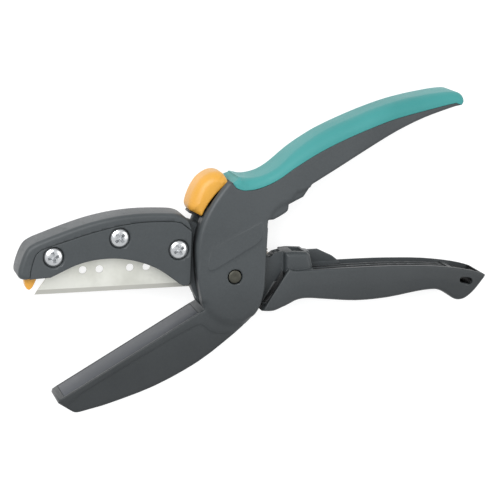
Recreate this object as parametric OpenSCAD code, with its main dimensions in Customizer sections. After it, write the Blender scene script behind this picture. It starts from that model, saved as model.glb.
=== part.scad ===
// One-hand utility-blade shears, open, lying on one side.
// The pivot axis is +Z, the origin is the pivot axis on the resting face,
// the jaws point to -X and the handles to +X. Lengths are in millimetres.

/* [Head and pivot] */
// Width of the head over both cheeks
head_w = 21; // [20:0.5:23]
// Width of the slot between the cheeks
slot_w = 7; // [7:0.1:7.6]
// Diameter of the pivot pin
pin_d = 5; // [4:0.1:5.2]
// Radial clearance of the bush on the pivot pin
pin_clear = 0.04; // [0.02:0.01:0.08]
// Radius of the lever's hub
hub_r = 16; // [15.6:0.1:16.1]
// Thickness of the lever's hub
hub_t = 6; // [5.6:0.1:6.1]

/* [Blade] */
// Length of the blade along its edge
blade_l = 61; // [60:0.5:61.5]
// Length of the blade along its back
blade_back = 33; // [32:0.5:34]
// Height of the blade
blade_h = 19; // [18.5:0.1:19]
// Thickness of the blade
blade_t = 0.6; // [0.5:0.05:0.65]
// Height of the ground bevel
bevel_h = 1.75; // [1:0.05:2.2]
// Diameter of the round holes in the blade
blade_hole_d = 2.85; // [2.7:0.05:3.1]
// Distance of the cutting edge below the pivot axis
edge_drop = 4.8; // [4.7:0.05:4.85]

/* [Jaws] */
// Angle that the lever turns through to close the jaws
jaw_open = 29.5; // [26:0.5:29.5]
// Distance of the anvil's top below the pivot axis, measured square to the anvil
anvil_drop = 4.9; // [4.9:0.05:5]
// Width of the anvil jaw
anvil_w = 18; // [17:0.5:19]
// Width of the blade arm
arm_w = 15; // [14:0.5:15.5]

/* [Handles] */
// Width of the lower handle's channel
handle_w = 18; // [17:0.5:19]
// Wall thickness of the mouldings
wall = 1.8; // [1.6:0.1:2]
// Thickness of the soft grip
grip_t = 2; // [1.6:0.1:2.4]
// Depth of the ribs below the edge of the lower handle's channel
rib_drop = 0.9; // [0.3:0.1:2]

/* [Thumb lock] */
// Angle that the thumb lock slides through
lock_travel = 3; // [2:0.25:3]
// Width of the thumb lock's cap
lock_w = 15; // [13:0.5:16]
// Running gap between the lock and the head's rim
lock_gap = 0.4; // [0.35:0.05:0.5]

/* [Cover screws] */
// Diameter of the screw heads
screw_head_d = 7.4; // [6.8:0.1:7.5]
// Height of the screw heads
screw_head_h = 2.4; // [2:0.1:2.5]
// Diameter of the screw shanks
screw_d = 3.5; // [3:0.1:3.6]

/* [Blade catch] */
// Angle that the blade catch swings through
catch_swing = 8; // [5:1:8]
// Width of the blade catch
catch_w = 4.4; // [4:0.1:4.6]

/* [Hidden] */
$fn = 48;
eps = 0.01;
fit = 0.15;                       // gap between parts that are fixed together
mid = head_w / 2;                 // height of the plane that the edge moves in
pivot_to_rim = 31.5;              // radius of the head's front rim
rim_c = [16.7, 9.6];              // centre of the head's front rim
slot_r = hub_r + 0.5;             // radius of the slot around the hub
pad_h = 0.3;                      // height of the badge's pad on the head's near face
ridge_h = 1.7;                    // thickness of the ridges beside the thumb lock's cap
anvil_dir = [cos(jaw_open), sin(jaw_open)];
anvil_nrm = [sin(jaw_open), -cos(jaw_open)];
blade_z0 = mid - blade_t / 2;
blade_z1 = mid + blade_t / 2;
arm_z0 = mid - arm_w / 2;
arm_z1 = mid + arm_w / 2;
plate_z1 = arm_z1 - 0.2;          // the cover plate sits a little below the arm's face
blade_mid_x = -44.2;
hole_x = [-12.1, -5.8, 5.8, 12.1];  // holes along the blade, from its middle
hole_y = 8.5;                     // holes above the edge
screw_at = [[-68.2, 10.4], [-43.3, 16.4], [-20.9, 10.9]];
screw_seat_z = arm_z1 - screw_head_h;
catch_at = [-77.4, 8.2];          // the blade catch's pin
catch_pin_d = 1.6;
catch_eye_r = 1.7;
guide_at = rim_c + 29.6 * [cos(136), sin(136)];
guide_d = 2.4;
spring_foot = [13.1, 5.2];        // middle of the spring's lower end
spring_head = [9.5, 19.1];        // middle of the spring's upper end
spring_d = 5.6;
spring_wire = 0.8;
spring_turns = 7;
hang_at = [92.6, -6.6];
lip_a = [118.5, 123.5];           // the ends of the grip's lip on the rim, as angles about the rim's centre
lock_a0 = 124.4;                  // the cap's ends, as angles about the rim's centre
lock_a1 = 154.6;
tooth_r = 16.25;                  // distance of the lock's tooth from the pivot when it is drawn back

// ---- curves -------------------------------------------------------------

function catmull(a, b, c, d, t) = 0.5 * (2 * b + (c - a) * t + (2 * a - 5 * b + 4 * c - d) * t * t
    + (3 * b - a - 3 * c + d) * t * t * t);
// A smooth curve through the points p, with n steps between neighbours
function curve(p, n = 4) = [
    for (i = [0:len(p) - 2], k = [0:n - 1])
        catmull(p[max(i - 1, 0)], p[i], p[i + 1], p[min(i + 2, len(p) - 1)], k / n),
    p[len(p) - 1]
];
function arc(c, r, a0, a1, n) = [for (i = [0:n]) let (a = a0 + (a1 - a0) * i / n) c + r * [cos(a), sin(a)]];
function polar(r, a) = rim_c + r * [cos(a), sin(a)];
function along_anvil(s, h = 0) = anvil_nrm * (anvil_drop - h) - anvil_dir * s;

module slab(z0, z1) { translate([0, 0, z0]) linear_extrude(z1 - z0) children(); }
module ring_sector(c, r0, r1, a0, a1) {
    translate(c) intersection() {
        difference() { circle(r = r1, $fn = 180); circle(r = r0, $fn = 180); }
        polygon(concat([[0, 0]], [for (a = [a0, (a0 + a1) / 2, a1]) 2 * r1 * [cos(a), sin(a)]]));
    }
}
module bar_between(a, b, w) {
    d = b - a;
    translate(a) rotate(atan2(d.y, d.x)) translate([0, -w / 2]) square([norm(d), w]);
}

// ---- main body ------------------------------------------------------------

// Back of the upper handle, from its tip to the front lip
handle_back = [
    [88.9, 62.2], [89.8, 63.2], [90, 64.6], [89.4, 66], [87.9, 66.9], [85.6, 67.2], [78.9, 66.7], [65, 64.3], [51.2, 60.1],
    [37.5, 54.6], [30.7, 51], [23.9, 46.5], [17.1, 40.8], [11.7, 38], [6.2, 37.1], [1.8, 37.8]
];
// Under edge of the upper handle, from the step to its tip
handle_under = [[30.2, 34], [40.3, 39.8], [53.8, 47.7], [64, 53.3], [74.3, 57.8], [84.6, 61.1], [88.9, 62.2]];
// Lower edge of the soft grip on the handle's side, from the tip to the front
grip_edge = [
    [86.6, 63], [80.8, 61.9], [63.6, 58], [53.2, 54.6], [43.3, 50.8], [32.8, 46], [23.2, 40.5], [17.8, 36.9], [13.2, 34.5],
    [7.8, 32.9], [3.1, 32.9], [0.2, 34.2], [-0.69, 35.87]
];

module head_outline() {
    polygon(concat(
        curve([[4.2, -18.6], [8.2, -14.6], [10.1, -11.2], [11.4, -6.6], [11.9, -2.7], [12.4, 7.9], [13.1, 19.4]], 3),
        [[13.1, 20.9]],
        curve([[15.4, 21], [18.6, 22.6], [20.8, 24.2], [21.2, 26.5]], 3),
        [[26.9, 29.2]],
        curve(handle_under, 3),
        curve(handle_back, 3),
        arc(rim_c, pivot_to_rim, lip_a[0], lip_a[1], 3),
        arc(rim_c, pivot_to_rim, lip_a[1] + 2.75, 184, 21),
        curve([[-14.5, 1.3], [-14, -3], [-12.9, -8], [-12.1, -10.8], [-10.8, -13.6], [-7.6, -16.7], [-4.4, -18.4], [-1, -19.2]], 3)
    ));
}
module grip_outline() {
    polygon(concat(
        curve(handle_back, 3),
        arc(rim_c, pivot_to_rim, lip_a[0], lip_a[1], 3),
        curve([for (i = [len(grip_edge) - 1:-1:0]) grip_edge[i]], 3)
    ));
}
// Under edge of the anvil jaw, from its tip to the head
anvil_under = [[-63, -48.2], [-60.9, -49], [-56.2, -48.1], [-47.8, -46.1], [-30.9, -40.6], [-13.8, -32.1], [0.5, -21.7], [5.4, -17.2]];
module anvil_outline() {
    polygon(concat(
        [along_anvil(14), along_anvil(80.3), along_anvil(81.1, -0.9)],
        curve(anvil_under, 3),
        [[4, -14], [-6, -6]]
    ));
}
// Everything that has to stay open between the cheeks
module slot_outline() {
    circle(r = slot_r, $fn = 96);
    polygon([along_anvil(15.6), along_anvil(40), [-40, 40], [-4.6, 40], [-2.6, 33.4], [0.5, 26], [2, 12], [0, 0]]);
    polygon([[0, 0], [5, 12], [5.9, 19.6], [30, 19.6], [30, -13.4], [9.4, -13.4]]);
    ring_sector(rim_c, 27.1, 36, 124, 160);
}
module main_body() {
    color([0.30, 0.32, 0.34]) difference() {
        union() {
            slab(0, head_w - pad_h) difference() { head_outline(); grip_outline(); }
            slab(mid, head_w) badge_pad();
            for (z = [0, head_w - pad_h - ridge_h]) slab(z, z + ridge_h) rim_ridge();
            slab(grip_t, head_w - grip_t) intersection() {
                offset(delta = -grip_t) head_outline();
                offset(delta = 0.5) grip_outline();
            }
            slab(mid - anvil_w / 2, mid + anvil_w / 2) anvil_outline();
        }
        slab(mid - slot_w / 2, mid + slot_w / 2) slot_outline();
        // the pivot pin's bore, its near recess and the seat of its head
        translate([0, 0, -1]) cylinder(d = pin_d + 0.02, h = head_w + 2);
        translate([0, 0, head_w - 4]) cylinder(d = 5.9, h = 5);
        translate([0, 0, -1]) cylinder(d = 8.6, h = 3.5);
        // the bore of the lock's guide pin
        translate([guide_at.x, guide_at.y, -1]) cylinder(d = guide_d + 0.02, h = mid + slot_w / 2 + 5);
        // seat of the return spring
        translate([spring_head.x, spring_head.y, mid]) rotate([0, 0, 104.5]) rotate([0, 90, 0])
            cylinder(d = spring_d + 1, h = 4);
        // seat of the anvil strip
        slab(mid - anvil_w / 2 + 1.3, mid + anvil_w / 2 - 1.3)
            polygon([along_anvil(18.6, 1), along_anvil(78, 1), along_anvil(78, -2.6), along_anvil(18.6, -2.6)]);
        // sunk panels on the sides of the anvil
        for (z = [mid + anvil_w / 2 - 0.4, mid - anvil_w / 2 - 1]) slab(z, z + 1.4) anvil_panel();
        // pocket of the lock's leaf spring
        slab(mid - 2.2, mid + 2.2) ring_sector(rim_c, 23.5, 27.3, 127.6, 139.4);
    }
}
// Ridge on each cheek that hides the lower edge of the thumb lock's cap
module rim_ridge() {
    polygon(concat(
        [polar(29, 152)],
        curve([polar(pivot_to_rim, 152), polar(31.7, 143), polar(32.2, 134), polar(32.9, 127), polar(32.9, 124.6), polar(31.4, 123.4)], 3),
        [polar(29, 123.4)]
    ));
}
module anvil_panel() {
    polygon(concat(
        curve([[-66, -46.6], [-60.7, -42.6], [-59, -41.1], [-49.2, -35.7], [-32.7, -26.8], [-23.9, -22.1], [-15.6, -18.2], [-12.9, -17.5]], 2),
        curve([[-11.2, -18.7], [-9, -20.5], [-5.1, -21.6], [1.5, -21.2]], 2),
        [[6, -26], [-40, -60], [-70, -60]]
    ));
}
module badge_pad() {
    polygon(concat(
        [[10.9, 21]], curve([[10.9, 17], [10.4, 14.4], [9, 12.6]], 2),
        [[-1.4, 6.6]], curve([[-7.6, 3.3], [-9.6, 2.8], [-10.6, 4.2], [-10.2, 7.4]], 2), [[-9, 11.5]]
    ));
}

module soft_grip() {
    color([0.28, 0.75, 0.72]) difference() {
        slab(0, head_w) grip_outline();
        slab(grip_t, head_w - grip_t) offset(delta = -grip_t + eps) head_outline();
    }
}
module anvil_strip() {
    color([0.45, 0.48, 0.52]) slab(mid - anvil_w / 2 + 1.3 + fit, mid + anvil_w / 2 - 1.3 - fit)
        polygon([along_anvil(18.7), along_anvil(77.9), along_anvil(77.9, -2.55), along_anvil(18.7, -2.55)]);
}

// ---- pivot ------------------------------------------------------------------

module pivot_pin() {
    color([0.55, 0.52, 0.47]) rotate_extrude() polygon([
        [0, 0.9], [3.7, 0.9], [4.1, 1.3], [4.1, 2.5], [pin_d / 2, 2.5],
        [pin_d / 2, head_w - 0.9], [pin_d / 2 - 0.3, head_w - 0.6], [0, head_w - 0.6]
    ]);
}
module washer(z) {
    gap = (slot_w - hub_t) / 2;
    color([0.75, 0.75, 0.76]) translate([0, 0, z + 0.03]) difference() {
        cylinder(d = 13, h = gap - 0.06);
        translate([0, 0, -1]) cylinder(d = pin_d + 0.1, h = 3);
    }
}
module pivot_bush() {
    color([0.72, 0.6, 0.35]) translate([0, 0, mid - hub_t / 2]) difference() {
        cylinder(d = 8, h = hub_t);
        translate([0, 0, -1]) cylinder(d = pin_d + 2 * pin_clear, h = hub_t + 2);
    }
}

// ---- blade lever --------------------------------------------------------------

arm_under = [
    [-69.5, 2.8], [-66.1, 4.3], [-60.4, 6.8], [-55.2, 8.2], [-50.3, 8.8], [-45, 8.8], [-40.2, 8.1], [-36.4, 7.1],
    [-32.3, 5.6], [-28.2, 3.5], [-23.8, 0.3], [-20.6, -2.3]
];
// Where the arm stops beside the rim
arm_end = [[-17.3, -2.9], [-16.7, -2.2], [-16.1, 10.7], [-15.85, 17.8]];
arm_top = [
    [-17.3, 22.2], [-18.7, 23.5], [-20.7, 24.4], [-24, 24.9], [-33.9, 25.3], [-43.7, 24.7], [-53.4, 23],
    [-63.1, 20.2], [-74.2, 16.4]
];
nose = [[-74.2, 16.4], [-77.2, 14.8], [-79, 12.4], [-80.6, 8.6], [-81.5, 4.9], [-81, 3.1], [-79.4, 2.4]];
module arm_outline() {
    polygon(concat(
        curve(arm_under, 2), [[-19.4, -2.9]], arm_end,
        curve(arm_top, 3),
        curve(nose, 3)
    ));
}
module plate_outline() {
    polygon(concat(
        curve(arm_under, 2), [[-19.4, -2.9]], arm_end,
        [[-19.8, 21.1]],
        curve([[-22.2, 21.7], [-31.9, 22.1], [-41.5, 21.4], [-53.5, 19], [-67.1, 15.2]], 3),
        curve([[-72.4, 13.6], [-74.6, 11.9], [-75.8, 9.2], [-76.8, 5.6], [-77.1, 2.5]], 2)
    ));
}
module blade_outline(grow = 0) {
    offset(delta = grow) polygon([
        [blade_mid_x - blade_l / 2, -edge_drop], [blade_mid_x + blade_l / 2, -edge_drop],
        [blade_mid_x + blade_back / 2, blade_h - edge_drop], [blade_mid_x - blade_back / 2, blade_h - edge_drop]
    ]);
}
module hub_outline() {
    circle(r = hub_r, $fn = 96);
    // neck between the hub and the arm
    polygon([[-9, -13.2], [-13.6, -8.4], [-15.75, -2.8], [-18.5, -2.8], [-18.5, 22.6], [-14.9, 22.1],
        [-12.9, 21], [-12.3, 14], [-11.4, 11.2], [0, 0]]);
    // root of the lower handle
    polygon([[0, 0], [9.6, -12.8], [12.4, -12.4], [24, -9.6], [31, -8], [31, 6.9], [29.4, 7.2], [24, 7.6],
        [19.6, 7.4], [17.2, 6.9], [15.2, 5.4]]);
}
lever_under = [
    [100.7, -5.4], [98.7, -8.1], [96, -11.2], [93.4, -13.3], [91.3, -14.2], [89, -14.2], [86.8, -13.1],
    [84.5, -11.4], [82, -10.1], [79.5, -9.6], [73.3, -10], [60.9, -11.8], [48.5, -12.3], [36.3, -11.1],
    [30.2, -10.4], [26.5, -10.4], [23.2, -11.3], [17, -14.1], [14, -14.6], [11, -14.3]
];
lever_top = [
    [21.6, 1.6], [24.1, 0.8], [30.1, 0.8], [54.5, 0.8], [66.9, 0.5], [79.9, -0.3], [91.9, -2.1], [99.8, -4.3], [100.7, -5.4]
];
module lever_outline() { polygon(concat(curve(lever_top, 3), curve(lever_under, 3))); }
// Space inside the channel of the lower handle
module channel_outline() {
    difference() {
        offset(delta = -2) polygon(concat([[28, 30], [100.7, 30]], curve(lever_under, 3)));
        polygon([[8, -20], [8, 30], [31, 30], [31, -20]]);
    }
}
// Space beside the hub, behind the sloped front edge
module front_outline() {
    offset(delta = -2) polygon(concat([[6, 30], [26, 30], [26, -10.5]], [for (i = [16:19]) lever_under[i]], [[6, -14]]));
}
module notch(a0, a1) { ring_sector([0, 0], 14.5, hub_r + 1, a0, a1); }

module blade_lever() {
    z0 = mid - handle_w / 2;
    z1 = mid + handle_w / 2;
    color([0.30, 0.32, 0.34]) difference() {
        union() {
            slab(arm_z0, arm_z1) arm_outline();
            difference() {
                slab(mid - hub_t / 2, mid + hub_t / 2) hub_outline();
                // pocket and throat of the return spring
                slab(mid - hub_t, mid + hub_t) bar_between(spring_foot, [6.2, 32], spring_d + 0.8);
                slab(mid - hub_t, mid + hub_t)
                    polygon([spring_foot + [-3.2, -0.8], spring_foot + [-4.4, 1], [2, 17], [20, 30]]);
                // two notches for the thumb lock: jaws shut and jaws open
                slab(mid - hub_t, mid + hub_t) notch(111.5, 128.5);
                slab(mid - hub_t, mid + hub_t) notch(111.5 - jaw_open, 128.5 - jaw_open);
            }
            difference() {
                slab(z0, z1) lever_outline();
                slab(z0 + wall, z1 - wall) channel_outline();
                for (s = [[z0 + wall, mid - hub_t / 2], [mid + hub_t / 2, z1 - wall]]) slab(s[0], s[1]) front_outline();
            }
            // spring block and the web behind it
            slab(mid - 6.3, mid + 6.3) polygon([[20.6, -4], [20.6, 7.4], [24, 7.6], [29.4, 7.2], [30.6, 6], [31.6, 2], [31.6, -9]]);
            slab(mid - 6.3, mid - 4.5) polygon([[30, 6], [36.5, 6], [42.3, 3.1], [46, 0], [46, -11], [30, -9]]);
            // ribs of the channel
            for (z = [mid - 3.6, mid, mid + 3.6]) slab(z - 0.6, z + 0.6) intersection() {
                lever_outline();
                translate([0, -rib_drop]) lever_outline();
                translate([31, -16]) square([57, 20]);
            }
            slab(z0 + 0.5, z1 - 0.5) intersection() {
                offset(delta = -0.6) lever_outline();
                translate([86.9, -20]) square([1.6, 30]);
            }
            // boss of the hang slot
            slab(z0 + 0.5, z1 - 0.5) translate(hang_at) rotate(-12) hang_shape(1.4);
        }
        // bed of the blade and seat of the cover plate
        slab(blade_z0, arm_z1 + 1) intersection() {
            union() {
                offset(delta = fit) plate_outline();
                translate([-19.5, -6]) square([6, 23.8]);
            }
            polygon(concat([[-100, -40], [-17.3, -40]], arm_end, [[-15.85, 40], [-100, 40]]));
        }
        slab(blade_z0, blade_z1 + 0.1) blade_outline(0.1);
        // bore of the bush
        translate([0, 0, -1]) cylinder(d = 8.02, h = 40);
        // blind bores of the inserts
        for (p = screw_at) translate([p.x, p.y, arm_z0 + 1]) cylinder(d = 5.02, h = blade_z0 - arm_z0);
        // pocket of the blade catch, its pin and its spring
        slab(mid - catch_w / 2 - 0.3, mid + catch_w / 2 + 0.3) catch_pocket();
        translate([catch_at.x, catch_at.y, 0]) cylinder(d = catch_pin_d + 0.02, h = mid + catch_w / 2 + 3);
        translate([catch_at.x, catch_at.y, mid]) cylinder(d = 3.2, h = catch_w / 2 + 2.1);
        // hang slot
        slab(-1, 40) translate(hang_at) rotate(-12) hang_shape(0);
        // groove in the arm's shoulder that the lock's foot moves in
        slab(mid - 4, mid + 4) ring_sector(rim_c, 31.2, 37.4, 150, 160.4);
        // pockets in the top of the spring block
        slab(mid - 3.6, mid + 3.6) polygon([[24, 3], [24, 9], [28.4, 9], [28.4, 3]]);
        slab(mid - 1.9, mid + 1.9) polygon([[17.4, 3.6], [16.8, 9], [19.6, 9], [19.8, 3.6]]);
    }
}
module hang_shape(grow) {
    for (x = [-1.4, 1.4]) translate([x, 0]) circle(r = 1.3 + grow);
    translate([-1.4, -1.3 - grow]) square([2.8, 2.6 + 2 * grow]);
}
module utility_blade() {
    color([0.78, 0.79, 0.8]) difference() {
        intersection() {
            slab(blade_z0, blade_z1) blade_outline();
            translate([-90, 0, 0]) rotate([90, 0, 90]) linear_extrude(90) polygon([
                [-edge_drop, mid - 0.03], [-edge_drop, mid + 0.03], [bevel_h - edge_drop, blade_z1],
                [20, blade_z1], [20, blade_z0], [bevel_h - edge_drop, blade_z0]
            ]);
        }
        for (x = hole_x) translate([blade_mid_x + x, hole_y - edge_drop, 0]) cylinder(d = blade_hole_d, h = 40);
    }
}
module cover_plate() {
    color([0.30, 0.32, 0.34]) difference() {
        slab(blade_z1 + 0.05, plate_z1) plate_outline();
        for (p = screw_at) translate([p.x, p.y, 0]) {
            cylinder(d = screw_d + 0.3, h = 40);
            translate([0, 0, screw_seat_z]) cylinder(d = screw_head_d + 0.7, h = 10);
        }
        slab(mid - catch_w, mid + catch_w / 2 + 0.3) catch_pocket();
        translate([catch_at.x, catch_at.y, 0]) cylinder(d = 3.2, h = mid + catch_w / 2 + 2.1);
    }
}
module insert(p) {
    color([0.78, 0.62, 0.3]) translate([p.x, p.y, arm_z0 + 1.2]) difference() {
        union() {
            cylinder(d = 5, h = 2.2);
            cylinder(d = 4.5, h = 3.6);
            translate([0, 0, 3.4]) cylinder(d = 5, h = 2.3);
        }
        translate([0, 0, -1]) cylinder(d = screw_d + 0.02, h = 12);
    }
}
module screw(p, turn) {
    r = screw_head_d / 2;
    color([0.8, 0.8, 0.8]) translate([p.x, p.y, 0]) difference() {
        rotate_extrude() polygon(concat(
            [[0, arm_z0 + 2], [screw_d / 2 - 0.6, arm_z0 + 2], [screw_d / 2, arm_z0 + 2.6], [screw_d / 2, screw_seat_z], [r, screw_seat_z]],
            [for (i = [0:6]) let (t = i / 6) [r * (1 - t * t * 0.45), screw_seat_z + screw_head_h * (0.35 + 0.65 * sqrt(t))]],
            [[0, screw_seat_z + screw_head_h]]
        ));
        for (a = [0, 90]) rotate(turn + a) translate([-r * 0.55, -0.45, screw_seat_z + screw_head_h - 1.5]) cube([r * 1.1, 0.9, 3]);
    }
}

// ---- blade catch ----------------------------------------------------------------

module catch_outline() {
    translate(catch_at) circle(r = catch_eye_r);
    polygon(concat(
        [catch_at - [catch_eye_r, 0]],
        curve([[-78.8, 4.6], [-78.5, 1], [-78.1, -1.4], [-77, -2.4], [-75.8, -1.7], [-74.6, 0.4], [-73.9, 2]], 3),
        [[-74.4, 4.6], catch_at + [catch_eye_r, 0]]
    ));
}
module catch_pocket() {
    offset(delta = 0.35) {
        translate(catch_at) circle(r = catch_eye_r);
        polygon([catch_at - [catch_eye_r, 0], [-79.3, 4.4], [-79.6, 0], [-73.6, 0], [-73.8, 5], catch_at + [catch_eye_r, 0]]);
    }
}
module blade_catch() {
    color([1, 0.72, 0.1]) difference() {
        slab(mid - catch_w / 2, mid + catch_w / 2) catch_outline();
        translate([catch_at.x, catch_at.y, 0]) cylinder(d = catch_pin_d + 0.1, h = 40);
    }
}
module catch_pin() {
    color("silver") translate([catch_at.x, catch_at.y, arm_z0 + 0.3]) cylinder(d = catch_pin_d, h = mid + catch_w / 2 + 2.5 - arm_z0);
}
module catch_spring() {
    color("silver") translate([catch_at.x, catch_at.y, mid + catch_w / 2 + 0.35])
        for (i = [0:3]) translate([0, 0, 0.2 + 0.38 * i]) rotate_extrude() translate([1.1, 0]) circle(r = 0.2, $fn = 16);
}

// ---- thumb lock -------------------------------------------------------------------

module thumb_lock() {
    r0 = pivot_to_rim + lock_gap;
    color([1, 0.75, 0.2]) difference() {
        slab(mid - lock_w / 2, mid + lock_w / 2) polygon(concat(
            arc(rim_c, r0, lock_a1, lock_a0 + 1, 14),
            curve([polar(33.6, lock_a0), polar(35.6, 124.5), polar(37.4, 126.6), polar(38.9, 130.4), polar(39.6, 136), polar(39.4, 141),
                polar(38.8, 146), polar(38.2, 150), polar(37.5, 152.8), polar(36.2, lock_a1)], 3)
        ));
        slab(mid - 2.3, mid + 2.3) ring_sector(rim_c, r0 - 1, 34.7, 130.8, 156);
    }
}
module lock_slider() {
    color([0.08, 0.08, 0.09]) difference() {
        union() {
            slab(mid - slot_w / 2 + 0.3, mid + slot_w / 2 - 0.3) {
                ring_sector(rim_c, 27.4, pivot_to_rim - 0.2, 127, 150);
                // arm with the tooth that drops into the hub's notches
                polygon([polar(28, 137), polar(28, 148.6), [-9.2, 16.9], tooth_r * [cos(122), sin(122)], tooth_r * [cos(112), sin(112)], [-6.2, 19.4]]);
            }
            slab(mid - 2.2, mid + 2.2) ring_sector(rim_c, pivot_to_rim - 1, 34.6, 131, 156);
            slab(mid - 3.4, mid + 3.4) ring_sector(rim_c, pivot_to_rim + lock_gap, 36, 154.8, 156.2);
        }
        // curved slot of the guide pin
        slab(0, head_w) ring_sector(rim_c, 29.6 - guide_d / 2 - 0.1, 29.6 + guide_d / 2 + 0.1, 132.8, 136.2);
        for (a = [132.8, 136.2]) translate([polar(29.6, a).x, polar(29.6, a).y, 0]) cylinder(d = guide_d + 0.2, h = head_w);
    }
}
module lock_guide_pin() {
    color("silver") translate([guide_at.x, guide_at.y, 0.5]) cylinder(d = guide_d, h = mid + slot_w / 2 + 3.4);
}
module lock_leaf() {
    color("silver") slab(mid - 2, mid + 2) polygon(concat(
        curve([polar(24, 128.3), polar(26.6, 131), polar(26.9, 133.5), polar(26.6, 136), polar(24, 138.7)], 3),
        curve([polar(23.7, 138.7), polar(26.3, 136), polar(26.6, 133.5), polar(26.3, 131), polar(23.7, 128.3)], 3)
    ));
}

// ---- return spring ------------------------------------------------------------------

module return_spring() {
    axis = spring_head - spring_foot;
    len = norm(axis) - spring_wire;
    rings = spring_turns * 10;
    sides = 6;
    r = (spring_d - spring_wire) / 2;
    pts = [for (i = [0:rings], k = [0:sides - 1]) let (
            a = 360 * i / 10,
            // the end turns lie closed, the middle ones are spread evenly
            u = i / rings,
            h = spring_wire * 0.6 + len * (u - sin(360 * u) * 0.07),
            b = 360 * k / sides,
            q = r + spring_wire / 2 * cos(b)
        ) [q * cos(a), q * sin(a), h + spring_wire / 2 * sin(b)]];
    faces = concat(
        [[for (k = [0:sides - 1]) k]],
        [for (i = [0:rings - 1], k = [0:sides - 1]) let (n = (k + 1) % sides)
            [i * sides + k, (i + 1) * sides + k, (i + 1) * sides + n, i * sides + n]],
        [[for (k = [sides - 1:-1:0]) rings * sides + k]]
    );
    color([0.7, 0.68, 0.65]) translate([spring_foot.x, spring_foot.y, mid])
        rotate([0, 0, atan2(axis.y, axis.x)]) rotate([0, 90, 0]) polyhedron(pts, faces);
}

main_body();
soft_grip();
anvil_strip();
pivot_pin();
washer(mid - slot_w / 2);  // washer_far
washer(mid + hub_t / 2);  // washer_near
lock_guide_pin();
lock_leaf();
blade_lever();
pivot_bush();
utility_blade();
cover_plate();
insert(screw_at[0]);  // insert_front
insert(screw_at[1]);  // insert_middle
insert(screw_at[2]);  // insert_rear
screw(screw_at[0], 12);  // screw_front
screw(screw_at[1], 40);  // screw_middle
screw(screw_at[2], 28);  // screw_rear
catch_pin();
catch_spring();
blade_catch();
thumb_lock();
lock_slider();
return_spring();
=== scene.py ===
import bpy
import bmesh
import math
import numpy as np
from mathutils import Matrix, Vector
from mathutils.geometry import delaunay_2d_cdt


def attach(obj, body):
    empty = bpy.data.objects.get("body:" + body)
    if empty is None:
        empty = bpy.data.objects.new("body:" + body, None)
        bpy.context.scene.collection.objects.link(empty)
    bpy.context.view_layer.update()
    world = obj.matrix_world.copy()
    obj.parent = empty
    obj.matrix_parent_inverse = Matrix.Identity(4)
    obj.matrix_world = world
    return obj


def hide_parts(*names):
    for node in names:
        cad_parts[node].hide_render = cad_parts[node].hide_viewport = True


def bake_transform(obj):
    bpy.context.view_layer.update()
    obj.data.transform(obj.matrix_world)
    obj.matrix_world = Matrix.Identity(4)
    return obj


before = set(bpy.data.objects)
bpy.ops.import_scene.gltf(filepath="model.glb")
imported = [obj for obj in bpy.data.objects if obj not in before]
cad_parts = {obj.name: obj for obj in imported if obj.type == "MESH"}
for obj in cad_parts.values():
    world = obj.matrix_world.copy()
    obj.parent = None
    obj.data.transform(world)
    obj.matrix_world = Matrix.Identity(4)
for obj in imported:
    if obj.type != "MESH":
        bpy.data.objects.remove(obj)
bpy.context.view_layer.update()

# ---------------------------------------------------------------- main moulding
# The head, the core of the upper handle and the anvil jaw are one injection moulding in charcoal
# nylon. Its rim is rounded, the badge stands a little proud, the sides of the anvil are sunk, and
# the slot for the lever and the bores run through it.

MM = 0.001
MIDDLE = 10.5
RIM_CENTRE = np.array([16.7, 9.6])
RIM_RADIUS = 31.5
SKIN = 0.02


def slices(node, height):
    """The closed outlines of a frame node cut across at a height, largest first, in millimetres."""
    cut = bmesh.new()
    cut.from_mesh(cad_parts[node].data)
    bmesh.ops.remove_doubles(cut, verts=cut.verts, dist=2e-6)
    bmesh.ops.bisect_plane(cut, geom=cut.verts[:] + cut.edges[:] + cut.faces[:], dist=1e-8,
                           plane_co=(0, 0, height * MM), plane_no=(0, 0, 1),
                           clear_inner=True, clear_outer=True)
    bmesh.ops.remove_doubles(cut, verts=cut.verts, dist=1e-6)
    loops = []
    left = set(cut.verts)
    while left:
        vertex = min(left, key=lambda v: (v.co.x, v.co.y))
        loop = []
        while vertex is not None:
            left.discard(vertex)
            loop.append((vertex.co.x / MM, vertex.co.y / MM))
            near = [e.other_vert(vertex) for e in vertex.link_edges]
            vertex = next((v for v in sorted(near, key=lambda v: (v.co.x, v.co.y)) if v in left), None)
        if len(loop) > 2:
            loops.append(np.array(loop))
    cut.free()
    facing = [loop if area(loop) > 0 else loop[::-1] for loop in loops]
    return sorted(facing, key=area, reverse=True)


def area(loop):
    x, y = loop.T
    return 0.5 * float(np.sum(x * np.roll(y, -1) - y * np.roll(x, -1)))


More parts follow.
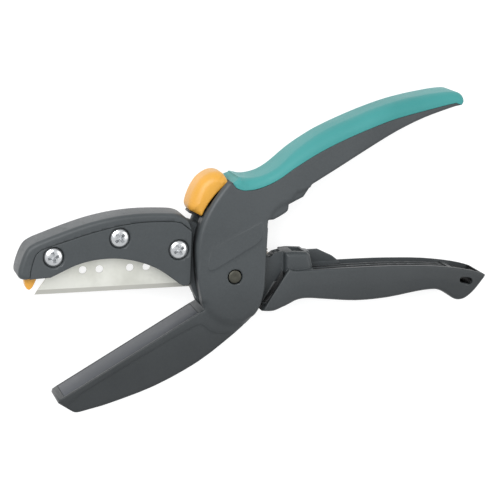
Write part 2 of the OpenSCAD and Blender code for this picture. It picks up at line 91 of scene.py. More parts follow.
def even(loop, spacing, corner=24):
    """The outline resampled on a smooth curve, with its corners kept."""
    before = loop - np.roll(loop, 1, 0)
    after = np.roll(loop, -1, 0) - loop
    heading = (after[:, 0] + 1j * after[:, 1]) / (before[:, 0] + 1j * before[:, 1])
    turn = np.degrees(np.abs(np.angle(heading)))
    corners = [i for i in range(len(loop)) if turn[i] > corner] or [0]
    out = []
    for k, start in enumerate(corners):
        end = corners[(k + 1) % len(corners)]
        count = (end - start) % len(loop) or len(loop)
        p = np.array([loop[(start + i) % len(loop)] for i in range(count + 1)])
        step = np.hypot(*np.diff(p, axis=0).T)
        at = np.concatenate([[0], np.cumsum(step)])
        slope = np.diff(p, axis=0) / step[:, None]
        tangent = np.vstack([slope[:1], (slope[1:] + slope[:-1]) / 2, slope[-1:]])
        wanted = np.linspace(0, at[-1], max(2, math.ceil(at[-1] / spacing) + 1))[:-1]
        i = np.clip(np.searchsorted(at, wanted, side="right") - 1, 0, len(step) - 1)
        t = ((wanted - at[i]) / step[i])[:, None]
        h = step[i][:, None]
        out.append((2 * t**3 - 3 * t**2 + 1) * p[i] + (t**3 - 2 * t**2 + t) * h * tangent[i]
                   + (3 * t**2 - 2 * t**3) * p[i + 1] + (t**3 - t**2) * h * tangent[i + 1])
    return np.vstack(out)


def inward(loop):
    along = np.roll(loop, -1, 0) - np.roll(loop, 1, 0)
    along /= np.hypot(*along.T)[:, None]
    return np.stack([-along[:, 1], along[:, 0]], 1)


def traced(node, height, spacing, side=0):
    """A frame node's largest outline at a height, or the largest on one side of the pivot, resampled."""
    loops = [loop for loop in slices(node, height) if loop[:, 0].mean() * side >= 0]
    return even(loops[0], spacing)


def skinned(loop, share=1):
    """The outline moved in by the skin that keeps a visual piece inside its solid."""
    return loop + inward(loop) * SKIN * share


def to_line(points, line, closed=True, values=None):
    """Distance of each point to a line, and the line's value at the nearest place."""
    ends = np.roll(line, -1, 0) if closed else line[1:]
    starts = line if closed else line[:-1]
    values = np.zeros(len(line)) if values is None else values
    best = np.full(len(points), 1e9)
    found = np.zeros(len(points))
    for i, (p, q) in enumerate(zip(starts, ends)):
        d = q - p
        t = np.clip(((points - p) @ d) / max(float(d @ d), 1e-12), 0, 1)
        gap = np.hypot(*(points - p - t[:, None] * d).T)
        nearer = gap < best
        best = np.where(nearer, gap, best)
        found = np.where(nearer, values[i] + t * (values[(i + 1) % len(line)] - values[i]), found)
    return best, found


def within(points, loop):
    x, y = points.T
    odd = np.zeros(len(points), bool)
    for p, q in zip(loop, np.roll(loop, -1, 0)):
        if p[1] != q[1]:
            odd ^= ((p[1] > y) != (q[1] > y)) & (x < (q[0] - p[0]) * (y - p[1]) / (q[1] - p[1]) + p[0])
    return odd


def ease(t):
    t = np.clip(t, 0, 1)
    return t * t * (3 - 2 * t)


def blurred(values, steps):
    return sum(np.roll(values, k) for k in range(-steps, steps + 1)) / (2 * steps + 1)


def edge_drop(gap, radius):
    """How far a rounded edge lies below the flat at a distance in from the outline."""
    t = np.clip(1 - gap / radius, 0, 1)
    return radius * (1 - np.sqrt(np.maximum(0, 1 - t * t)))


def mesh_object(name, points, faces):
    mesh = bpy.data.meshes.new(name)
    corners = [tuple(float(c) * MM for c in p) for p in points]
    mesh.from_pydata(corners, [], [tuple(map(int, f)) for f in faces])
    made = bpy.data.objects.new(name, mesh)
    bpy.context.scene.collection.objects.link(made)
    return made


EDGE_STEPS = (9, 18, 28, 39, 51, 64, 77, 90)
TRIANGLE_HEIGHT = 0.866


def moulded(name, loop, radii, heights, grid=1.0, lines=()):
    """A closed slab over an outline. heights(points, gap, radius) gives its lower and upper surface.
    radii rounds the edge, as one size or one for each point, and lines are followed by the mesh."""
    radii = np.zeros(len(loop)) + radii
    spots = [loop]
    normal = inward(loop)
    for angle in EDGE_STEPS:
        inset = radii * (1 - math.cos(math.radians(angle)))
        ring = loop + normal * inset[:, None]
        gap = to_line(ring, loop)[0]
        spots.append(ring[within(ring, loop) & (gap > inset * 0.93) & (gap > 0.015)])
    for line, offsets in lines:
        side = inward(line)
        for offset in offsets:
            ring = line + side * offset
            spots.append(ring[within(ring, loop) & (to_line(ring, loop)[0] > 0.3)])
    low, high = loop.min(0), loop.max(0)
    columns = np.arange(low[0], high[0], grid)
    rows = np.arange(low[1], high[1], grid * TRIANGLE_HEIGHT)
    field = np.array([(x + (k % 2) * grid / 2, y) for k, y in enumerate(rows) for x in columns])
    field = field[within(field, loop)]
    gap, radius = to_line(field, loop, values=radii)
    clear = gap > np.maximum(radius, 0.2) + grid * 0.3
    for line, offsets in lines:
        clear &= to_line(field, line)[0] > max(map(abs, offsets)) + grid * 0.3
    spots.append(field[clear])
    flat = np.vstack(spots)
    count = len(loop)
    corners, _, faces, came_from, _, _ = delaunay_2d_cdt(
        [Vector(p) for p in flat], [(i, (i + 1) % count) for i in range(count)], [], 1, 1e-5)
    flat = np.array([tuple(v) for v in corners])
    place = {}
    for new, old in enumerate(came_from):
        for o in old:
            if o < count:
                place[o] = new
    gap, radius = to_line(flat, loop, values=radii)
    gap[[place[i] for i in range(count)]] = 0
    lower, upper = heights(flat, gap, np.maximum(radius, SKIN))
    total = len(flat)
    points = np.vstack([np.column_stack([flat, upper]), np.column_stack([flat, lower])])
    shell = []
    for f in faces:
        a, b, c = flat[f[0]], flat[f[1]], flat[f[2]]
        facing_up = (b[0] - a[0]) * (c[1] - a[1]) - (b[1] - a[1]) * (c[0] - a[0]) > 0
        f = list(f) if facing_up else list(f)[::-1]
        shell.append(f)
        shell.append([v + total for v in f[::-1]])
    for i in range(count):
        a, b = place[i], place[(i + 1) % count]
        shell.append([a, a + total, b + total, b])
    return mesh_object(name, points, shell)


def prism(name, loop, low, high):
    count = len(loop)
    points = [(*p, high) for p in loop] + [(*p, low) for p in loop]
    sides = [[i, i + count, (i + 1) % count + count, (i + 1) % count] for i in range(count)]
    ends = [list(range(count)), list(range(2 * count - 1, count - 1, -1))]
    return mesh_object(name, points, ends + sides)


def circle(at, radius, sides):
    turns = [2 * math.pi * i / sides for i in range(sides)]
    return [(at[0] + radius * math.cos(t), at[1] + radius * math.sin(t)) for t in turns]


def round_bar(name, at, radius, low, high):
    return prism(name, circle(at, radius, 64), low, high)


def frame_copy(node, name="copy"):
    """A frame node's solid with its triangles joined up, as a new piece."""
    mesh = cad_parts[node].data.copy()
    joined = bmesh.new()
    joined.from_mesh(mesh)
    bmesh.ops.remove_doubles(joined, verts=joined.verts, dist=2e-6)
    joined.to_mesh(mesh)
    joined.free()
    mesh.materials.clear()
    made = bpy.data.objects.new(name, mesh)
    bpy.context.scene.collection.objects.link(made)
    return made


def settle(piece):
    """Turns a piece and its live modifiers into one plain mesh."""
    bpy.context.view_layer.update()
    evaluated = piece.evaluated_get(bpy.context.evaluated_depsgraph_get())
    mesh = bpy.data.meshes.new_from_object(evaluated)
    piece.modifiers.clear()
    piece.data = mesh
    return piece


def combine(piece, operation, *tools):
    for tool in tools:
        step = piece.modifiers.new("combine", "BOOLEAN")
        step.operation = operation
        step.solver = "MANIFOLD"
        step.object = tool
        settle(piece)
        bpy.data.objects.remove(tool)
    return piece


def smooth(piece, angle=33):
    mesh = piece.data
    mesh.polygons.foreach_set("use_smooth", [True] * len(mesh.polygons))
    mesh.set_sharp_from_angle(angle=math.radians(angle))
    return piece


class Wire:
    """A value or colour in a material's nodes, with arithmetic on values."""

    def __init__(self, tree, socket=None):
        self.tree = tree
        self.socket = socket

    def node(self, kind, settings, inputs, output=0):
        made = self.tree.nodes.new(kind)
        for key, value in settings.items():
            if key == "stops":
                ramp = made.color_ramp
                while len(ramp.elements) < len(value):
                    ramp.elements.new(1)
                for element, (place, shade) in zip(ramp.elements, value):
                    element.position = place
                    element.color = shade
            else:
                setattr(made, key, value)
        for key, value in inputs.items():
            if isinstance(value, Wire):
                self.tree.links.new(value.socket, made.inputs[key])
            else:
                made.inputs[key].default_value = value
        return Wire(self.tree, made.outputs[output])

    def maths(self, operation, *values):
        return self.node("ShaderNodeMath", {"operation": operation}, dict(enumerate(values)))

    def __add__(self, other):
        return self.maths("ADD", self, other)

    def __sub__(self, other):
        return self.maths("SUBTRACT", self, other)

    def __rsub__(self, other):
        return self.maths("SUBTRACT", other, self)

    def __mul__(self, other):
        return self.maths("MULTIPLY", self, other)

    __radd__ = __add__
    __rmul__ = __mul__

    def between(self, low, high):
        """0 below low, 1 above high, and a smooth change between them."""
        return self.node("ShaderNodeMapRange", {"interpolation_type": "SMOOTHSTEP"},
                         {"Value": self, "From Min": low, "From Max": high, "To Min": 0.0, "To Max": 1.0})

    def noise(self, place, scale, detail=2.0, rough=0.5):
        return self.node("ShaderNodeTexNoise", {},
                         {"Vector": place, "Scale": scale, "Detail": detail, "Roughness": rough})

    def mix(self, share, low, high):
        """A colour between low and high."""
        return self.node("ShaderNodeMix", {"data_type": "RGBA"}, {0: share, 6: low, 7: high}, 2)


def start_finish(name):
    """A new material: its node tree's wire, its shader, and the place on the piece as a vector."""
    material = bpy.data.materials.new(name)
    material.use_nodes = True
    tree = material.node_tree
    wire = Wire(tree)
    shader = tree.nodes["Principled BSDF"]
    place = wire.node("ShaderNodeTexCoord", {}, {}, "Object")
    return material, wire, shader, place


def feed(shader, wire, **inputs):
    for key, value in inputs.items():
        socket = shader.inputs[key.replace("_", " ")]
        if isinstance(value, Wire):
            wire.tree.links.new(value.socket, socket)
        else:
            socket.default_value = value


def shade(r, g, b):
    """An sRGB colour, 0 to 255, as the linear colour that nodes take."""
    linear = [v / 255 / 12.92 if v <= 10 else ((v / 255 + 0.055) / 1.055) ** 2.4 for v in (r, g, b)]
    return (*linear, 1.0)


GRAIN_SCALE = 2600.0
SPECK_SCALE = 1430.0
# A near-black mixed in as painted shade in hollows.
PAINTED_SHADE_BLACK = (0.002, 0.002, 0.0025, 1.0)
# A black mixed in as painted shade where the light falls off.
PAINTED_FALLOFF_BLACK = (0.0, 0.0, 0.0, 1.0)


def plastic(name, dark, light, grain=0.16, gloss=0.42, streak=None, painted_falloff=None, painted_shade=None):
    """Moulded plastic: slow colour drift, a fine spark-eroded grain and rubbed, slightly glossier
    patches. streak = (stretch, colour) adds flow streaks; painted_falloff = (x, y, near, far, share)
    paints shade that darkens the colour along a direction, where the light falls off; painted_shade
    gives the share of painted shade at a place."""
    material, wire, shader, place = start_finish(name)
    drift = wire.noise(place, 26.0, 3.0)
    speck = wire.noise(place, SPECK_SCALE, 2.0)
    tone = (drift * 0.7 + speck * 0.3).between(0.3, 0.7)
    colour = wire.mix(tone, dark, light)
    rubbed = wire.noise(place, 60.0, 4.0, 0.65).between(0.42, 0.72)
    if streak:
        along = wire.node("ShaderNodeMapping", {}, {"Vector": place, "Scale": streak[0]})
        flow = wire.noise(along, 60.0, 3.0).between(0.35, 0.7)
        colour = wire.mix(flow * 0.55, colour, streak[1])
    # Painted shade: the colour darkens along a direction, where the light from the lamp falls off.
    if painted_falloff:
        axis_x, axis_y, near, far, share = painted_falloff
        along = wire.node("ShaderNodeVectorMath", {"operation": "DOT_PRODUCT"},
                          {0: place, 1: (axis_x, axis_y, 0.0)}, 1)
        colour = wire.mix(along.between(near, far) * share, colour, PAINTED_FALLOFF_BLACK)
    # Painted shade: near-black is mixed in where shade falls in the hollows.
    if painted_shade:
        colour = wire.mix(painted_shade(wire, place), colour, PAINTED_SHADE_BLACK)
    fine = wire.noise(place, GRAIN_SCALE, 2.0, 0.55)
    waves = wire.noise(place, 180.0, 2.0)
    bump = wire.node("ShaderNodeBump", {},
                     {"Height": fine * 0.8 + waves * 0.35, "Strength": grain, "Distance": 0.00012})
    feed(shader, wire, Base_Color=colour, Roughness=rubbed * -0.09 + (gloss + 0.05), Normal=bump,
         Specular_IOR_Level=0.42)
    return material


def dressed(piece, material, name, body, slot, *nodes):
    """The piece's last steps: its name, its finish, and its body, which may be None."""
    piece.name = name
    piece.data.name = name
    piece.data.materials.clear()
    piece.data.materials.append(material)
    if body:
        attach(piece, body)
    if nodes:
        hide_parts(*nodes)
    return piece


NYLON_SHADES = (shade(55, 59, 61), shade(64, 68, 70))
# The nylon carries painted shade: it darkens towards the jaw and the end of the lower handle, where the
# light falls off.
NYLON_PAINTED_FALLOFF = (0.2, -1.0, -0.006, 0.030, 0.48)
CHARCOAL = plastic("charcoal_nylon", *NYLON_SHADES, painted_falloff=NYLON_PAINTED_FALLOFF)

body_loop = traced("main_body", 19.05, 0.8)
grip_loop = traced("soft_grip", 20.5, 0.8)
head_loop = traced("main_body", 20.3, 0.7)
badge_loop = traced("main_body", 20.85, 0.6)
panel_loop = traced("main_body", 19.25, 0.7)


def inner_run(loop, outer, gap):
    """The stretch of an outline that lies inside another one."""
    inside = within(loop, outer) & (to_line(loop, outer)[0] > gap)
    first = next(i for i in range(len(loop)) if inside[i] and not inside[i - 1])
    return np.array([p for p, k in zip(np.roll(loop, -first, 0), np.roll(inside, -first)) if k])


foot_line = inner_run(head_loop, body_loop, 0.25)
foot_line = np.vstack([foot_line[0] + [-0.5, 2.2], foot_line, foot_line[-1] + [2.6, 1.6]])
panel_line = inner_run(panel_loop, body_loop, 0.2)
body_loop = skinned(body_loop)

HEAD_TOP = 20.66
JAW_TOP = 19.48
JAW_ANGLE = math.radians(29.5)
JAW_SQUARE = np.array([math.sin(JAW_ANGLE), -math.cos(JAW_ANGLE)])
JAW_FACE = 4.9
PANEL_DEPTH = 0.3
BADGE_RISE = 0.28
BADGE_FADE = np.array([0.5, -0.866])
TRIGGER_DROP = 1.3
rim_gap = np.abs(np.hypot(*(body_loop - RIM_CENTRE).T) - RIM_RADIUS)
rim_turn = np.degrees(np.arctan2(*(body_loop - RIM_CENTRE).T[::-1])) % 360
on_rim = (rim_gap < 1.6) & (rim_turn > 123.6) & (rim_turn < 188)
on_seam = to_line(body_loop, grip_loop)[0] < 0.07
on_jaw = (np.abs(body_loop @ JAW_SQUARE - JAW_FACE) < 0.15) & (body_loop[:, 0] < -12)
body_radii = np.where(on_rim, 1.9, np.where(on_seam, 0.15, np.where(on_jaw, 0.4, 1.2)))
body_radii = blurred(body_radii, 2)
TRIGGER_LINE = np.array([(22.5, 30.6), (20.7, 28.6), (17.7, 27.6),
                         (14.9, 25.5), (13.2, 23.6), (12.6, 20.6)])
trigger_area = np.vstack([TRIGGER_LINE, [(12.4, 18.0), (40.0, 18.0), (40.0, 36.0)]])


def body_heights(points, gap, radius):
    in_head = within(points, head_loop + inward(head_loop) * -0.05)
    rise = np.where(in_head, ease(to_line(points, foot_line, closed=False)[0] / 2.4), 0)
    sunk = ~within(points, panel_loop) & (points @ JAW_SQUARE > 7) & (points[:, 0] < 2)
    in_panel = np.where(sunk, to_line(points, panel_line, closed=False)[0], 0)
    in_badge = np.where(within(points, badge_loop), to_line(points, badge_loop)[0], 0)
    fade = np.clip(1.05 + ((points - [9, 12.6]) @ BADGE_FADE) / 8.5, 0, 1)
    over_trigger = within(points, trigger_area)
    under_trigger = np.where(over_trigger, to_line(points, TRIGGER_LINE, closed=False)[0], 0)
    top = JAW_TOP + (HEAD_TOP - JAW_TOP) * rise
    top = top - PANEL_DEPTH * ease(in_panel / 0.5)
    top = top + BADGE_RISE * fade * ease(in_badge / 0.3)
    top = top - TRIGGER_DROP * ease(under_trigger / 2.2)
    top = top - edge_drop(gap, radius)
    return 2 * MIDDLE - top, top


PANEL_STEPS = (0.0, 0.12, 0.24, 0.36, 0.52)
panel_followed = [(panel_line, [-step for step in PANEL_STEPS]), (badge_loop, PANEL_STEPS)]
main_moulding = moulded("main_moulding", body_loop, body_radii, body_heights, 1.1, panel_followed)
CORE_LOW = 2.05
CORE_HIGH = 18.95
core_loop = traced("main_body", 18.8, 0.8)
combine(main_moulding, "UNION", prism("core", skinned(core_loop, 2), CORE_LOW, CORE_HIGH))
around = [(-90, -60), (110, -60), (110, 75), (-90, 75)]
cavities = prism("cavities", around, CORE_LOW - 0.15, CORE_HIGH + 0.15)
combine(cavities, "DIFFERENCE", frame_copy("main_body"))
GUIDE_ANGLE = math.radians(136)
guide = RIM_CENTRE + 29.6 * np.array([math.cos(GUIDE_ANGLE), math.sin(GUIDE_ANGLE)])
combine(main_moulding, "DIFFERENCE", cavities,
        round_bar("pin_recess", (0, 0), 2.95, 16.9, 22),
        round_bar("pin_seat", (0, 0), 4.3, -1, 2.5),
        round_bar("guide_bore", guide, 1.21, -1, 3))
dressed(smooth(main_moulding), CHARCOAL, "main_moulding", "frame", "body_plastic", "main_body")

# ---------------------------------------------------------------- soft grip
# A skin of turquoise soft-touch rubber is moulded over the back of the upper handle. It is fully
# rounded towards the palm, ends in a low collar at the thumb lock, and its seam stands a little proud.

GRIP_RADIUS = 6.2
GRIP_TOP = 20.98
grip_loop = skinned(grip_loop)
grip_seam = to_line(grip_loop, body_loop)[0] < 0.12
seam_points = grip_loop[grip_seam]
local_width = np.array([np.min(np.hypot(*(seam_points - p).T)) for p in grip_loop])
grip_radii = np.where(grip_seam, 0.5, np.clip(local_width * 0.98, 0.8, GRIP_RADIUS))
grip_radii = np.minimum(blurred(grip_radii, 3), np.maximum(grip_radii, 0.5) + 1.5)
seam_end = next(i for i in range(len(grip_seam)) if grip_seam[i - 1] and not grip_seam[i])
from_end = np.roll(grip_seam, -seam_end)
seam_line = np.roll(grip_loop, -seam_end, 0)[from_end]
back_line = np.roll(grip_loop, -seam_end, 0)[~from_end]
back_radii = np.clip(blurred(local_width * 0.98, 2), 0.6, GRIP_RADIUS)
back_radii = np.roll(back_radii, -seam_end)[~from_end]
COLLAR_FOOT = np.array([(2.6, 42.0), (3.2, 38.0), (3.7, 35.0), (4.4, 31.0)])


def grip_heights(points, gap, radius):
    side = points[:, 0] - np.interp(points[:, 1], COLLAR_FOOT[::-1, 1], COLLAR_FOOT[::-1, 0])
    back_gap, back_radius = to_line(points, back_line, closed=False, values=back_radii)
    seam_gap = to_line(points, seam_line, closed=False)[0]
    past_collar = ease(side / 1.3) * ease((16 - side) / 8)
    top = GRIP_TOP - 0.4 * past_collar - 0.24 * (1 - ease(seam_gap / 2.4))
    top = top - edge_drop(back_gap, np.maximum(back_radius, 0.3)) - edge_drop(seam_gap, 0.3)
    return 2 * MIDDLE - top, top


grip = moulded("grip", grip_loop, grip_radii, grip_heights, 0.9)
combine(grip, "INTERSECT", frame_copy("soft_grip"))


def soft_rubber(name, dark, light):
    """Soft-touch rubber: a matt bloom, a fine stipple and paler, handled patches."""
    material, wire, shader, place = start_finish(name)
    drift = wire.noise(place, 22.0, 3.0).between(0.3, 0.72)
    colour = wire.mix(drift, dark, light)
    pores = wire.node("ShaderNodeTexVoronoi", {}, {"Vector": place, "Scale": 1500.0})
    fine = wire.noise(place, 3000.0, 2.0)
    bump = wire.node("ShaderNodeBump", {},
                     {"Height": fine + pores * 0.7, "Strength": 0.22, "Distance": 0.00012})
    handled = wire.noise(place, 48.0, 4.0, 0.6).between(0.4, 0.75)
    feed(shader, wire, Base_Color=colour, Roughness=0.6 - handled * 0.1, Normal=bump,
         Specular_IOR_Level=0.35, Sheen_Weight=0.12, Sheen_Roughness=0.4)
    return material


TURQUOISE = soft_rubber("turquoise_rubber", shade(48, 127, 125), shade(60, 139, 137))
dressed(smooth(grip, 40), TURQUOISE, "soft_grip_skin", "frame", "grip", "soft_grip")

# ---------------------------------------------------------------- anvil strip
# The strip that the edge closes on is a separate, paler moulding pressed into the jaw from above,
# flush with it, with its long edges broken.

BROKEN_EDGE = 0.12


def bevelled(node, width, segments=2, angle=32):
    """A frame node's solid with every sharp edge broken."""
    made = frame_copy(node)
    flat = bmesh.new()
    flat.from_mesh(made.data)
    bmesh.ops.dissolve_limit(flat, angle_limit=math.radians(1), verts=flat.verts, edges=flat.edges)
    inner = [e for e in flat.edges if len(e.link_faces) == 2]
    sharp = [e for e in inner if e.calc_face_angle() > math.radians(angle)]
    bmesh.ops.bevel(flat, geom=sharp, offset=width * MM, offset_type="OFFSET", segments=segments,
                    profile=0.5, affect="EDGES", clamp_overlap=True)
    bmesh.ops.remove_doubles(flat, verts=flat.verts, dist=1e-7)
    flat.to_mesh(made.data)
    flat.free()
    return smooth(made)


PALE_NYLON = plastic("anvil_nylon", shade(47, 51, 57), shade(57, 61, 68), 0.12, 0.4)
strip = bevelled("anvil_strip", BROKEN_EDGE)
dressed(strip, PALE_NYLON, "anvil_strip_insert", "frame", "anvil", "anvil_strip")

# ---------------------------------------------------------------- lever moulding
# The blade arm, the hub between the cheeks and the lower handle are the second nylon moulding. The
# arm has a rounded back and nose; the handle is a channel open towards the palm, with long ribs.

arm_loop = skinned(traced("blade_lever", 5.5, 0.7, side=-1))
handle_loop = skinned(traced("blade_lever", 2.5, 0.8))
hub_loop = skinned(traced("blade_lever", 7.8, 0.8))
block_loop = skinned(traced("blade_lever", 15.0, 0.6, side=1))
web_loop = skinned(traced("blade_lever", 5.5, 0.7, side=1))

arm_back = (arm_loop[:, 1] > 14) & (arm_loop[:, 0] < -17.5)
arm_nose = arm_loop[:, 0] < -72
arm_radii = blurred(np.where(arm_back | arm_nose, 1.7, 0.5), 2)
arm_radii = np.where(arm_loop[:, 0] > -17, 0.4, arm_radii)
handle_top_edge = (handle_loop[:, 1] > -5.5) & (handle_loop[:, 0] > 20)
handle_front = (handle_loop[:, 0] < 22) & (handle_loop[:, 1] > -12.5)
handle_radii = np.where(handle_top_edge, 0.7, np.where(handle_front, 0.3, 1.4))
handle_radii = blurred(handle_radii, 2)


def slab_heights(low, high, crown=0.0):
    def heights(points, gap, radius):
        drop = edge_drop(gap, radius) + crown * (1 - ease(gap / 7))
        return low + drop, high - drop
    return heights


lever = moulded("lever", arm_loop, arm_radii, slab_heights(3.02, 17.98), 1.1)
combine(lever, "UNION",
        moulded("hub", hub_loop, 0.35, slab_heights(7.52, 13.48), 1.4),
        moulded("handle", handle_loop, handle_radii, slab_heights(1.52, 19.48, 0.25), 1.1),
        moulded("block", block_loop, 2.0, slab_heights(4.22, 16.78), 0.9),
        moulded("web", web_loop, 0.3, slab_heights(4.22, 5.98), 1.4))
combine(lever, "INTERSECT", frame_copy("blade_lever"))

CHANNEL_RIM = 0.0008
BEND_START = 0.054
BEND = 1.75
CHANNEL = {"rim": (0.00098, 0.00118), "floor": (0.0075, 0.0085), "front": (0.024, 0.031),
           "far_wall": (0.0032, 0.0036), "near_wall": (0.0174, 0.0178)}
HUB_SIDE = {"gap": (0.0162, 0.0171), "back": (0.022, 0.024), "top": (-0.001, 0.001),
            "foot": (-0.0122, -0.0116), "far_cheek": (0.0034, 0.0038), "near_cheek": (0.0172, 0.0176)}


def shaded_places(wire, place):
    """Painted shade in the channel below its rim, which bends down at the end, and in the gap beside the
    hub.
    """
    x, y, z = (wire.node("ShaderNodeSeparateXYZ", {}, {"Vector": place}, k) for k in range(3))
    past = wire.maths("MAXIMUM", x - BEND_START, 0.0)
    depth = CHANNEL_RIM - y - past * past * BEND
    channel = depth.between(*CHANNEL["rim"]) * (1 - depth.between(*CHANNEL["floor"]))
    channel = channel * x.between(*CHANNEL["front"])
    channel = channel * z.between(*CHANNEL["far_wall"]) * (1 - z.between(*CHANNEL["near_wall"]))
    beside = (x * 0.832 - y * 0.555).between(*HUB_SIDE["gap"]) * (1 - x.between(*HUB_SIDE["back"]))
    beside = beside * (1 - y.between(*HUB_SIDE["top"])) * y.between(*HUB_SIDE["foot"])
    beside = beside * z.between(*HUB_SIDE["far_cheek"]) * (1 - z.between(*HUB_SIDE["near_cheek"]))
    return (channel + beside) * 0.93


# The lever's nylon carries the same painted shade towards the lower right, and painted shade in its
# channel and in the gap beside the hub.
LEVER_NYLON = plastic("charcoal_nylon_lever", *NYLON_SHADES, painted_falloff=NYLON_PAINTED_FALLOFF,
                      painted_shade=shaded_places)
dressed(smooth(lever), LEVER_NYLON, "lever_moulding", "lever", "body_plastic", "blade_lever")

# ---------------------------------------------------------------- cover plate
# The plate that clamps the blade is let into the arm's near side, a hair below it, with its edges
# broken so that a thin dark line shows all round, and three counterbores for the screws.

plate_loop = skinned(traced("cover_plate", 17.0, 0.7))
plate = moulded("plate", plate_loop, 0.35, slab_heights(10.87, 17.78), 1.1)
combine(plate, "INTERSECT", frame_copy("cover_plate"))
dressed(smooth(plate), CHARCOAL, "cover_plate_moulding", "lever", "body_plastic", "cover_plate")

# ---------------------------------------------------------------- thumb lock
# The cap is moulded in orange acetal, domed towards the thumb, with faint flow streaks in the
# plastic. A black slider with the locking tooth is fixed under it and shows as its foot.

cap_loop = skinned(traced("thumb_lock", 16.0, 0.5))
cap_reach = np.hypot(*(cap_loop - RIM_CENTRE).T)
cap_radii = blurred(np.where(cap_reach > 33.2, 4.2, 0.7), 3)
cap = moulded("cap", cap_loop, cap_radii, slab_heights(3.02, 17.98), 0.7)
combine(cap, "INTERSECT", frame_copy("thumb_lock"))
AMBER = plastic("orange_acetal", shade(190, 136, 42), shade(204, 150, 56), 0.05, 0.36,
                streak=((1.0, 0.12, 0.25), shade(238, 172, 78)))
dressed(smooth(cap, 40), AMBER, "thumb_lock_cap", "lock", "lock_cap", "thumb_lock")

BLACK = plastic("black_acetal", shade(24, 25, 27), shade(36, 37, 40), 0.1, 0.38)
slider = bevelled("lock_slider", BROKEN_EDGE)
dressed(slider, BLACK, "lock_slider_block", "lock", "lock_black", "lock_slider")

# ---------------------------------------------------------------- blade catch
# A small tab in the same orange acetal keeps the end of the blade. It turns on a steel pin in the
# arm's nose.

catch_tab = bevelled("blade_catch", 0.45, 4)
dressed(catch_tab, AMBER, "blade_catch_tab", "catch", "lock_cap", "blade_catch")

# ---------------------------------------------------------------- blade
# The trapezoid utility blade is ground carbon steel 0.6 mm thick: a satin face with fine marks
# along its length, and a darker bevel ground across at the edge.

BLADE_EDGE = -4.8
BEVEL_WIDTH = 1.75
BEVEL_SHADE = shade(184, 183, 176)


def steel(name, dark, light, rough, grinding, scale=900.0, ground_below=None, metallic=0.92):
    """Bare or plated metal: fine marks along one direction and slow tarnish. Below the height
    ground_below it is ground again, across the first marks."""
    material, wire, shader, place = start_finish(name)
    along = wire.node("ShaderNodeMapping", {}, {"Vector": place, "Scale": grinding})
    marks = wire.noise(along, scale, 3.0, 0.6)
    tarnish = wire.noise(place, 70.0, 4.0, 0.6).between(0.35, 0.75)
    colour = wire.mix(tarnish, light, dark)
    level = rough + 0.12 * marks
    if ground_below is not None:
        height = wire.node("ShaderNodeSeparateXYZ", {}, {"Vector": place}, "Y")
        face = height.between(ground_below - 0.00008, ground_below + 0.00008)
        colour = wire.mix(face, BEVEL_SHADE, colour)
        across = wire.node("ShaderNodeMapping", {}, {"Vector": place, "Scale": (1.0, 0.05, 0.05)})
        marks = marks * face + wire.noise(across, 2600.0, 2.0) * (1 - face)
        level = level + (1 - face) * 0.08
    bump = wire.node("ShaderNodeBump", {}, {"Height": marks, "Strength": 0.12, "Distance": 0.00005})
    feed(shader, wire, Base_Color=colour, Roughness=level, Metallic=metallic, Normal=bump)
    return material


BLADE_STEEL = steel("ground_blade_steel", shade(204, 204, 195), shade(224, 224, 216), 0.4,
                    (0.04, 1.0, 1.0), ground_below=(BLADE_EDGE + BEVEL_WIDTH) * MM, metallic=0.6)
blade = bevelled("utility_blade", 0.03, 1, 40)
dressed(blade, BLADE_STEEL, "trapezoid_blade", "lever", "blade_steel", "utility_blade")

# ---------------------------------------------------------------- cover screws
# Three zinc-plated pan-head screws hold the plate. Each has a cross recess with tick marks between
# its arms, and goes into a brass insert.

SCREW_PLACES = [(-68.2, 10.4, 12), (-43.3, 16.4, 40), (-20.9, 10.9, 28)]
SEAT = 15.6
HEAD_RADIUS = 3.69
SKIRT_TOP = 0.95
DOME_RISE = 1.42


def turned(name, profile, sides=48):
    """A body of revolution about +Z through a list of (radius, height), closed at both ends."""
    points = []
    faces = []
    for radius, height in profile:
        ring = circle((0, 0), radius, sides) if radius else [(0, 0)]
        points.append([(*spot, height) for spot in ring])
    starts = np.cumsum([0] + [len(ring) for ring in points])
    for k in range(len(points) - 1):
        low, high = starts[k], starts[k + 1]
        for i in range(sides):
            j = (i + 1) % sides
            if len(points[k]) == 1:
                faces.append([low, high + j, high + i])
            elif len(points[k + 1]) == 1:
                faces.append([low + i, low + j, high])
            else:
                faces.append([low + i, low + j, high + j, high + i])
    return mesh_object(name, [p for ring in points for p in ring], faces)


shank = [(0, -11.0), (1.2, -11.0), (1.74, -10.4), (1.74, 0.0)]
skirt = [(HEAD_RADIUS - 0.1, 0.0), (HEAD_RADIUS, 0.12), (HEAD_RADIUS, SKIRT_TOP)]
rises = [math.radians(a) for a in range(12, 85, 9)]
dome = [(HEAD_RADIUS * math.cos(a) ** 0.8, SKIRT_TOP + DOME_RISE * math.sin(a)) for a in rises]
screw = turned("screw", [*shank, *skirt, *dome, (0, 2.38)])


def wedge(name, half_length, half_width, low, high, taper, turn):
    """A bar across the middle that narrows towards its lower face."""
    c, s = math.cos(math.radians(turn)), math.sin(math.radians(turn))
    points = []
    for z, k in ((low, taper), (high, 1.0)):
        for x, y in ((-half_length * k, -half_width * k), (half_length * k, -half_width * k),
                     (half_length * k, half_width * k), (-half_length * k, half_width * k)):
            points.append((x * c - y * s, x * s + y * c, z))
    faces = [[3, 2, 1, 0], [4, 5, 6, 7], [0, 1, 5, 4], [1, 2, 6, 5], [2, 3, 7, 6], [3, 0, 4, 7]]
    return mesh_object(name, points, faces)


cross = [wedge("arm", 2.4, 0.6, 0.6, 2.6, 0.45, turn) for turn in (0, 90)]
ticks = [wedge("tick", 1.9, 0.13, 1.95, 2.6, 0.8, turn) for turn in (45, 135)]
combine(screw, "DIFFERENCE", *cross, *ticks)
smooth(screw, 35)

ZINC = steel("bright_zinc", shade(190, 192, 194), shade(232, 233, 234), 0.16, (1.0, 1.0, 1.0), 260.0)


